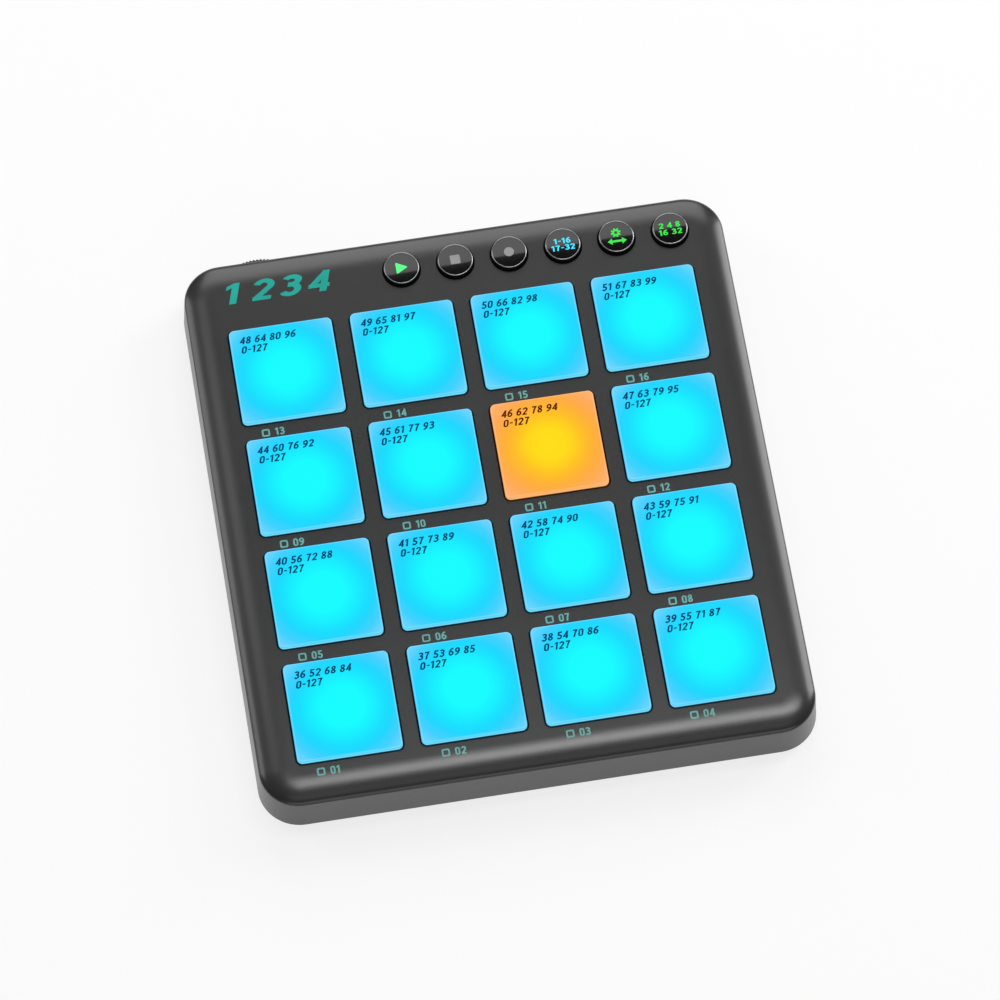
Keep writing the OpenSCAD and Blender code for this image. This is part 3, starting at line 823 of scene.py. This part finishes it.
SIX = [loop_ring(0.28, 0.32, 0.28, 0.32), stroke(arc(0.43, 0.34, 0.345, 0.575, 180, 80))]
ONE = [(0.17, 0), (0.36, 0), (0.36, 1), (0.21, 1), (0.02, 0.86), (0.02, 0.68), (0.17, 0.78)]
FIGURES = {
    "0": [(round_rect(FIGURE_WIDTH, 1.0, 0.27, 6, 0.28, 0.5),
           round_rect(0.18, 0.64, 0.085, 6, 0.28, 0.5))],
    "1": [(ONE, None)],
    "2": [stroke(arc(0.28, 0.705, 0.195, 0.21, 170, -40) + [(0.13, 0.12)]),
          block(0.03, 0, 0.53, 0.18)],
    "3": [stroke(arc(0.265, 0.735, 0.185, 0.18, 155, -90) + [(0.18, 0.555)]),
          stroke([(0.18, 0.535)] + arc(0.265, 0.31, 0.205, 0.225, 90, -155))],
    "4": [block(0.32, 0, 0.51, 1), block(0, 0.2, 0.57, 0.38),
          stroke([(0.415, 0.94), (0.085, 0.29)], 0.18)],
    "5": [block(0.07, 0.82, 0.51, 1), stroke([(0.16, 0.94), (0.14, 0.47)]),
          stroke(arc(0.255, 0.315, 0.21, 0.23, 125, -155))],
    "6": SIX,
    "7": [block(0.03, 0.82, 0.54, 1), stroke([(0.45, 0.92), (0.32, 0.55), (0.24, 0)])],
    "8": [loop_ring(0.28, 0.75, 0.25, 0.25, 0.175), loop_ring(0.28, 0.28, 0.275, 0.28)],
    "9": [(half_turn(outer), half_turn(inner)) for outer, inner in SIX],
    "-": [block(0.03, 0.4, 0.36, 0.56)],
}
ADVANCE = {"1": 0.5, "-": 0.47, " ": 0.34}
USUAL_ADVANCE = 0.66
# Triangles of the figures that were drawn before
drawn = {}


def figure(char):
    areas = FIGURES[char]

    def inked(p):
        return any(inside(p, outer) and not (inner and inside(p, inner)) for outer, inner in areas)

    if char not in drawn:
        drawn[char] = fill([loop for area in areas for loop in area if loop], inked)
    return drawn[char]


def figures(words, height, slant=0.0, wide=1.0):
    points, faces, pen = [], [], 0.0
    for char in words:
        if char in FIGURES:
            own, tris = figure(char)
            first = len(points)
            points.extend(((pen + x * wide + slant * y) * height, y * height) for x, y in own)
            faces.extend(tuple(first + i for i in tri) for tri in tris)
        pen += ADVANCE.get(char, USUAL_ADVANCE) * wide
    return points, faces


# Flat mark between closed loops
def outline(loops):
    return fill(loops, lambda p: sum(inside(p, loop) for loop in loops) % 2 == 1)


# Each triangle cut into four, so that a mark follows a curved surface
def finer(mark, times):
    points, faces = list(mark[0]), mark[1]
    for turn in range(times):
        middles, smaller = {}, []
        for tri in faces:
            halves = []
            for i in range(3):
                a, b = tri[i], tri[(i + 1) % 3]
                key = (min(a, b), max(a, b))
                if key not in middles:
                    middles[key] = len(points)
                    (ax, ay), (bx, by) = points[a], points[b]
                    points.append(((ax + bx) / 2, (ay + by) / 2))
                halves.append(middles[key])
            smaller += [(tri[i], halves[i], halves[i - 1]) for i in range(3)] + [tuple(halves)]
        faces = smaller
    return points, faces


# Mark moved sideways, so that its middle is at zero
def centred(mark):
    points, faces = mark
    left, right, low, high = reach(points)
    shift = -(left + right) / 2
    return [(x + shift, y) for x, y in points], faces


# Heights of the surfaces below the marks of a pad and a cap
def on_pad(x, y):
    return PAD_TOP


def on_face(x, y):
    return FACE_Z


# Printed mark, a little above the surface that carries it and a little sunk in it
def place_mark(shape, mark, dx, dy, height_at, above=0.02, below=0.03):
    points = [(x + dx, y + dy) for x, y in mark[0]]
    tops = shape.add([(x, y, height_at(x, y) + above) for x, y in points])
    lows = shape.add([(x, y, height_at(x, y) - below) for x, y in points])
    for tri in mark[1]:
        shape.face([tops[i] for i in tri])
        shape.face([lows[i] for i in reversed(tri)])
    for a, b in free_sides(mark[1]):
        shape.face((tops[a], lows[a], lows[b], tops[b]))


# A small square and a number in front of each pad, placed from the pad's middle
NUMBER_PRINT = {"height": 1.95, "wide": 1.1}
NUMBER_X = -5.2
SQUARE_X = -7.4
NUMBER_Y = -16.1
# Sides and corner radii of the square, the height of its middle and the steps of its corners
SQUARE_OUTER = (1.95, 0.45)
SQUARE_INNER = (1.15, 0.15)
SQUARE_MIDDLE = 0.97
SQUARE_STEPS = 4


def cover_numbers():
    shape = Shape()
    sizes = (SQUARE_OUTER, SQUARE_INNER)
    loops = [round_rect(side, side, r, SQUARE_STEPS, 0, SQUARE_MIDDLE) for side, r in sizes]
    square = outline(loops)
    for i in PAD_NUMBERS:
        x, y = pad_at(i)
        number = finer(figures(f"{i:02d}", **NUMBER_PRINT), times=1)
        place_mark(shape, square, x + SQUARE_X, y + NUMBER_Y, cover_height)
        place_mark(shape, number, x + NUMBER_X, y + NUMBER_Y, cover_height)
    make("pad_numbers", shape, [PALE_TEAL], "case", sharp=MARK_SHARP)


# Large numbers at the rear left
BANKS = 4
BANK_PRINT = {"height": 5.5, "slant": 0.3, "wide": 1.65}
BANK_X = -57.0
BANK_PITCH = 6.9
BANK_Y = 58.2


def bank_numbers():
    shape = Shape()
    for n in range(BANKS):
        number = finer(figures(str(n + 1), **BANK_PRINT), times=2)
        place_mark(shape, number, BANK_X + BANK_PITCH * n, BANK_Y, cover_height)
    make("bank_numbers", shape, [TEAL], "case", sharp=MARK_SHARP)


# Note numbers of a pad in the four banks, and a range below them, placed from the pad's middle
PAD_PRINT = {"height": 1.9, "slant": 0.25, "wide": 1.15}
FIRST_NOTE = 36
NOTES_AT = (-10.3, 8.5)
RANGE_AT = (-10.2, 6.0)
INK_ABOVE_PAD = 0.008


def pad_marks(i):
    shape = Shape()
    first = FIRST_NOTE + i - 1
    notes = " ".join(str(first + PAD_COUNT * n) for n in range(BANKS))
    place_mark(shape, figures(notes, **PAD_PRINT), *NOTES_AT, on_pad, above=INK_ABOVE_PAD)
    place_mark(shape, figures("0-127", **PAD_PRINT), *RANGE_AT, on_pad, above=INK_ABOVE_PAD)
    looks = [BROWN_INK if i == ORANGE_PAD else NAVY_INK]
    place = pad_at(i) + (0,)
    make(
        f"pad_marks_{i}", shape, looks, f"pad_{i}_body", place=place,
        sharp=MARK_SHARP,
    )


# Outline with rounded corners
def softened(corners, r, steps=5):
    loop = []
    n = len(corners)
    for i in range(n):
        a, b, c = Vector(corners[i - 1]), Vector(corners[i]), Vector(corners[(i + 1) % n])
        start, end = b + (a - b).normalized() * r, b + (c - b).normalized() * r
        for s in range(steps + 1):
            t = s / steps
            p = start * (1 - t) ** 2 + b * 2 * t * (1 - t) + end * t * t
            loop.append((p.x, p.y))
    return loop


# Corners of one tooth, as shares of the teeth's pitch and of the radius
TOOTH = ((0.0, 0.74), (0.14, 1.0), (0.5, 1.0), (0.64, 0.74))


def gear(r, teeth):
    loop = []
    for i in range(teeth):
        for share, out in TOOTH:
            a = 2 * pi * (i + share) / teeth
            loop.append((r * out * cos(a), r * out * sin(a)))
    return loop


def double_arrow(length, width):
    tip, neck = length / 2, length / 2 - width
    barb, shaft = width / 2 * 1.5, width / 2 * 0.5
    return [(-tip, 0), (-neck, barb), (-neck, shaft), (neck, shaft), (neck, barb), (tip, 0),
            (neck, -barb), (neck, -shaft), (-neck, -shaft), (-neck, -barb)]


# Two lines of small figures on a cap
CAP_PRINT = 1.45
UPPER_LINE = 0.2
LOWER_LINE = -1.65
INK_BELOW_FACE = 0.05


def cap_line(words, wide=1.4):
    return centred(figures(words, CAP_PRINT, wide=wide))


# Marks of the caps, each with its distance behind the middle of the cap
def cap_marks():
    triangle = outline([softened([(-1.3, -1.55), (1.55, 0), (-1.3, 1.55)], 0.35)])
    square = outline([softened([(-1.2, -1.2), (1.2, -1.2), (1.2, 1.2), (-1.2, 1.2)], 0.25)])
    dot = outline([circle(1.22, 40)])
    cog = outline([gear(1.25, 8), circle(0.42, 20)])
    arrow = outline([double_arrow(4.7, 1.15)])
    marks = {
        "play": (GREEN_LIT, [(triangle, 0.05)]),
        "stop": (GREY_MARK, [(square, 0.15)]),
        "record": (GREY_MARK, [(dot, 0.1)]),
        "bank": (BLUE_LIT, [(cap_line("1-16"), UPPER_LINE), (cap_line("17-32"), LOWER_LINE)]),
        "shift": (LIME_LIT, [(cog, 1.0), (arrow, -1.3)]),
        "repeat": (LIME_LIT, [(cap_line("2 4 8"), UPPER_LINE), (cap_line("16 32", 1.45), LOWER_LINE)]),
    }
    for k, name in enumerate(BUTTONS):
        look, lines = marks[name]
        shape = Shape()
        for mark, dy in lines:
            place_mark(shape, mark, 0, dy, on_face, below=INK_BELOW_FACE)
        place = button_at(k) + (0,)
        make(
            f"{name}_mark", shape, [look], f"{name}_button", place=place,
            sharp=MARK_SHARP,
        )


top_cover()
for number in PAD_NUMBERS:
    pad(number)
    pad_marks(number)
for number in BUTTON_NUMBERS:
    cap(number)
cap_marks()
thumbwheel()
cover_numbers()
bank_numbers()

# Materials of the solids that stay
INNER = {
    "bottom_cover": TRAY,
    "rubber_feet": RUBBER,
    "socket_shell": metal("socket_bright_steel", (0.62, 0.62, 0.64, 1)),
    "case_screws": metal("blackened_steel", (0.08, 0.08, 0.085, 1), gloss=(0.3, 0.45)),
    "board_screws": metal("plated_screw", (0.6, 0.6, 0.62, 1)),
    "wheel_clip": metal("spring_steel", (0.5, 0.5, 0.52, 1)),
    "battery": plastic(
        "battery_foil", (0.55, 0.57, 0.6, 1), gloss=(0.28, 0.42), grain=1.0, depth=0.03, Metallic=0.8,
    ),
}
# Each row has a node, the material's name, its colour, gloss, grain, depth and spread
INNER_PLASTIC = [
    ("socket_tongue", "tongue_black", (0.015, 0.015, 0.016, 1), (0.4, 0.5), 6.0, 0.006, 0.06),
    ("wheel_base", "inner_black", (0.03, 0.03, 0.032, 1), (0.45, 0.6), 5.0, 0.01, 0.06),
    ("pad_mat", "clear_silicone_mat", (0.55, 0.6, 0.62, 1), (0.45, 0.6), 3.0, 0.01, 0.04),
    ("light_grid", "white_grid", (0.75, 0.75, 0.72, 1), (0.5, 0.6), 4.0, 0.01, 0.03),
    ("sensor_film", "amber_film", (0.45, 0.2, 0.03, 1), (0.2, 0.3), 2.0, 0.004, 0.1),
    ("main_board", "board_green", (0.008, 0.07, 0.035, 1), (0.25, 0.38), 1.1, 0.02, 0.35),
    ("pad_lamps", "lamp_resin", (0.8, 0.78, 0.6, 1), (0.25, 0.35), 3.0, 0.01, 0.06),
    ("button_lamps", "small_lamp_resin", (0.8, 0.78, 0.6, 1), (0.25, 0.35), 3.0, 0.01, 0.06),
    ("switch_housings", "switch_black", (0.02, 0.02, 0.022, 1), (0.4, 0.55), 5.0, 0.01, 0.06),
    ("board_chips", "chip_black", (0.014, 0.014, 0.015, 1), (0.5, 0.62), 6.0, 0.01, 0.1),
    ("battery_tape", "tape_white", (0.7, 0.7, 0.66, 1), (0.6, 0.7), 2.0, 0.02, 0.05),
    ("battery_connector", "connector_white", (0.72, 0.7, 0.62, 1), (0.4, 0.5), 4.0, 0.01, 0.04),
]
for name, *look in INNER_PLASTIC:
    INNER[name] = plastic(*look)
PLUNGER = plastic("plunger_white", (0.6, 0.6, 0.57, 1), grain=4.0, depth=0.008, spread=0.05)
for name in BUTTONS:
    INNER[f"{name}_plunger"] = PLUNGER
for name, material in INNER.items():
    mesh = nodes[name].data
    mesh.materials.clear()
    mesh.materials.append(material)

# Half the side of the floor in metres, and the share of its light that is plain white
FLOOR = 4.0
PLAIN_WHITE = 0.78


# Floor: white paper that keeps a light shadow, and shows as white in reflections too
def floor_white():
    surface = Surface("floor_white")
    grey = (0.94, 0.94, 0.94, 1)
    surface.moulded(grey, spread=0.005, gloss=(0.8, 0.9), grain=0.02, depth=0.01, strength=0.1)
    path = surface.add("ShaderNodeLightPath")
    seen = surface.add("ShaderNodeMath", "MAXIMUM")
    surface.link(path, "Is Camera Ray", seen, 0)
    surface.link(path, "Is Glossy Ray", seen, 1)
    through = surface.add("ShaderNodeMath", "MAXIMUM")
    surface.link(seen, "Value", through, 0)
    surface.link(path, "Is Transmission Ray", through, 1)
    share = surface.add("ShaderNodeMath", "MULTIPLY")
    surface.link(through, "Value", share, 0)
    share.inputs[1].default_value = PLAIN_WHITE
    white = surface.add("ShaderNodeEmission")
    mix = surface.add("ShaderNodeMixShader")
    surface.link(share, "Value", mix, 0)
    surface.link(surface.bsdf, "BSDF", mix, 1)
    surface.link(white, "Emission", mix, 2)
    surface.link(mix, "Shader", surface.out, "Surface")
    surface.mat.cycles.emission_sampling = "NONE"
    return surface.mat


mesh = bpy.data.meshes.new("floor")
corners = [(-FLOOR, -FLOOR, 0), (FLOOR, -FLOOR, 0), (FLOOR, FLOOR, 0), (-FLOOR, FLOOR, 0)]
mesh.from_pydata(corners, [], [(0, 1, 2, 3)])
mesh.materials.append(floor_white())
ground = bpy.data.objects.new("floor", mesh)
scene.collection.objects.link(ground)

# A panel that faces down by more than this share has its width along X, and any other lies level
STEEP = 0.8


# Area lamp at a place, turned to a point, with sizes in metres
def panel(name, place, aim, width, height, radiance, twist=0):
    lamp = bpy.data.lights.new(name, "AREA")
    lamp.shape = "RECTANGLE"
    lamp.size, lamp.size_y = width, height
    lamp.energy = radiance * pi * width * height
    holder = bpy.data.objects.new(name, lamp)
    z = (Vector(place) - Vector(aim)).normalized()
    level = Vector((1, 0, 0)) if z.z > STEEP else Vector((0, 0, 1)).cross(z)
    x = Matrix.Rotation(radians(twist), 3, z) @ (level - z * level.dot(z)).normalized()
    y = z.cross(x)
    holder.matrix_world = Matrix.Translation(place) @ Matrix((x, y, z)).transposed().to_4x4()
    scene.collection.objects.link(holder)


# Light: soft boxes on all sides, narrow ones overhead, and weaker panels that fill between them
FRONT_RIM = (0, -0.067, 0.013)
REAR_RIM = (0, 0.066, 0.013)
LEFT_RIM = (-0.063, 0, 0.013)
RIGHT_RIM = (0.063, 0, 0.013)
CAPS = (0.02, 0.06, 0.0152)
ORIGIN = (0, 0, 0)
# Each row has a name, a place, the point that the panel faces, its width, height and radiance
panel("top_strip", (0.19, 0.168, 1.19), FRONT_RIM, 0.62, 0.19, 9.0)
panel("cap_panel", (0.1072, 0.6063, 1.0862), CAPS, 0.3, 0.025, 3.2, twist=1.2)
panel("rear_box", (0.146, 1.107, 0.777), REAR_RIM, 0.9, 0.9, 2.6)
panel("right_box", (1.103, 0.553, 0.562), RIGHT_RIM, 0.5, 1.05, 6.0)
panel("right_fill", (0.65, 0.512, 0.99), RIGHT_RIM, 0.22, 0.25, 0.6)
panel("left_box", (-1.051, 0.617, 0.589), LEFT_RIM, 0.5, 1.01, 2.6)
panel("left_panel", (-0.34, 0.544, 1.16), LEFT_RIM, 0.25, 0.25, 2.0)
panel("left_fill", (-0.58, 0.494, 0.97), LEFT_RIM, 0.22, 0.25, 0.7)
panel("front_box", (0, -1.41, 0.75), ORIGIN, 1.8, 1.0, 1.0)
panel("front_fill", (0.1, -0.54, 1.66), FRONT_RIM, 1.1, 0.6, 0.5)

# Even sky
SKY = 0.12
world = bpy.data.worlds.new("studio")
world.use_nodes = True
world.node_tree.nodes["Background"].inputs["Color"].default_value = (1, 1, 1, 1)
world.node_tree.nodes["Background"].inputs["Strength"].default_value = SKY
scene.world = world

# Camera at the photograph's place: its right, up and backward axes, and its place in metres, in columns
CAMERA_PLACE = Matrix((
    (0.9869286, 0.1475689, -0.0647720, -0.094580),
    (-0.1611437, 0.8982247, -0.4089316, -0.605718),
    (-0.0021658, 0.4140238, 0.9102635, 1.354281),
    (0, 0, 0, 1),
))
FOCAL_LENGTH = 222.54
SENSOR_WIDTH = 36
lens = bpy.data.cameras.new("camera")
lens.sensor_width = SENSOR_WIDTH
lens.lens = FOCAL_LENGTH
lens.clip_end = 50
camera = bpy.data.objects.new("camera", lens)
camera.matrix_world = CAMERA_PLACE
scene.collection.objects.link(camera)
scene.camera = camera

scene.view_settings.view_transform = "Standard"
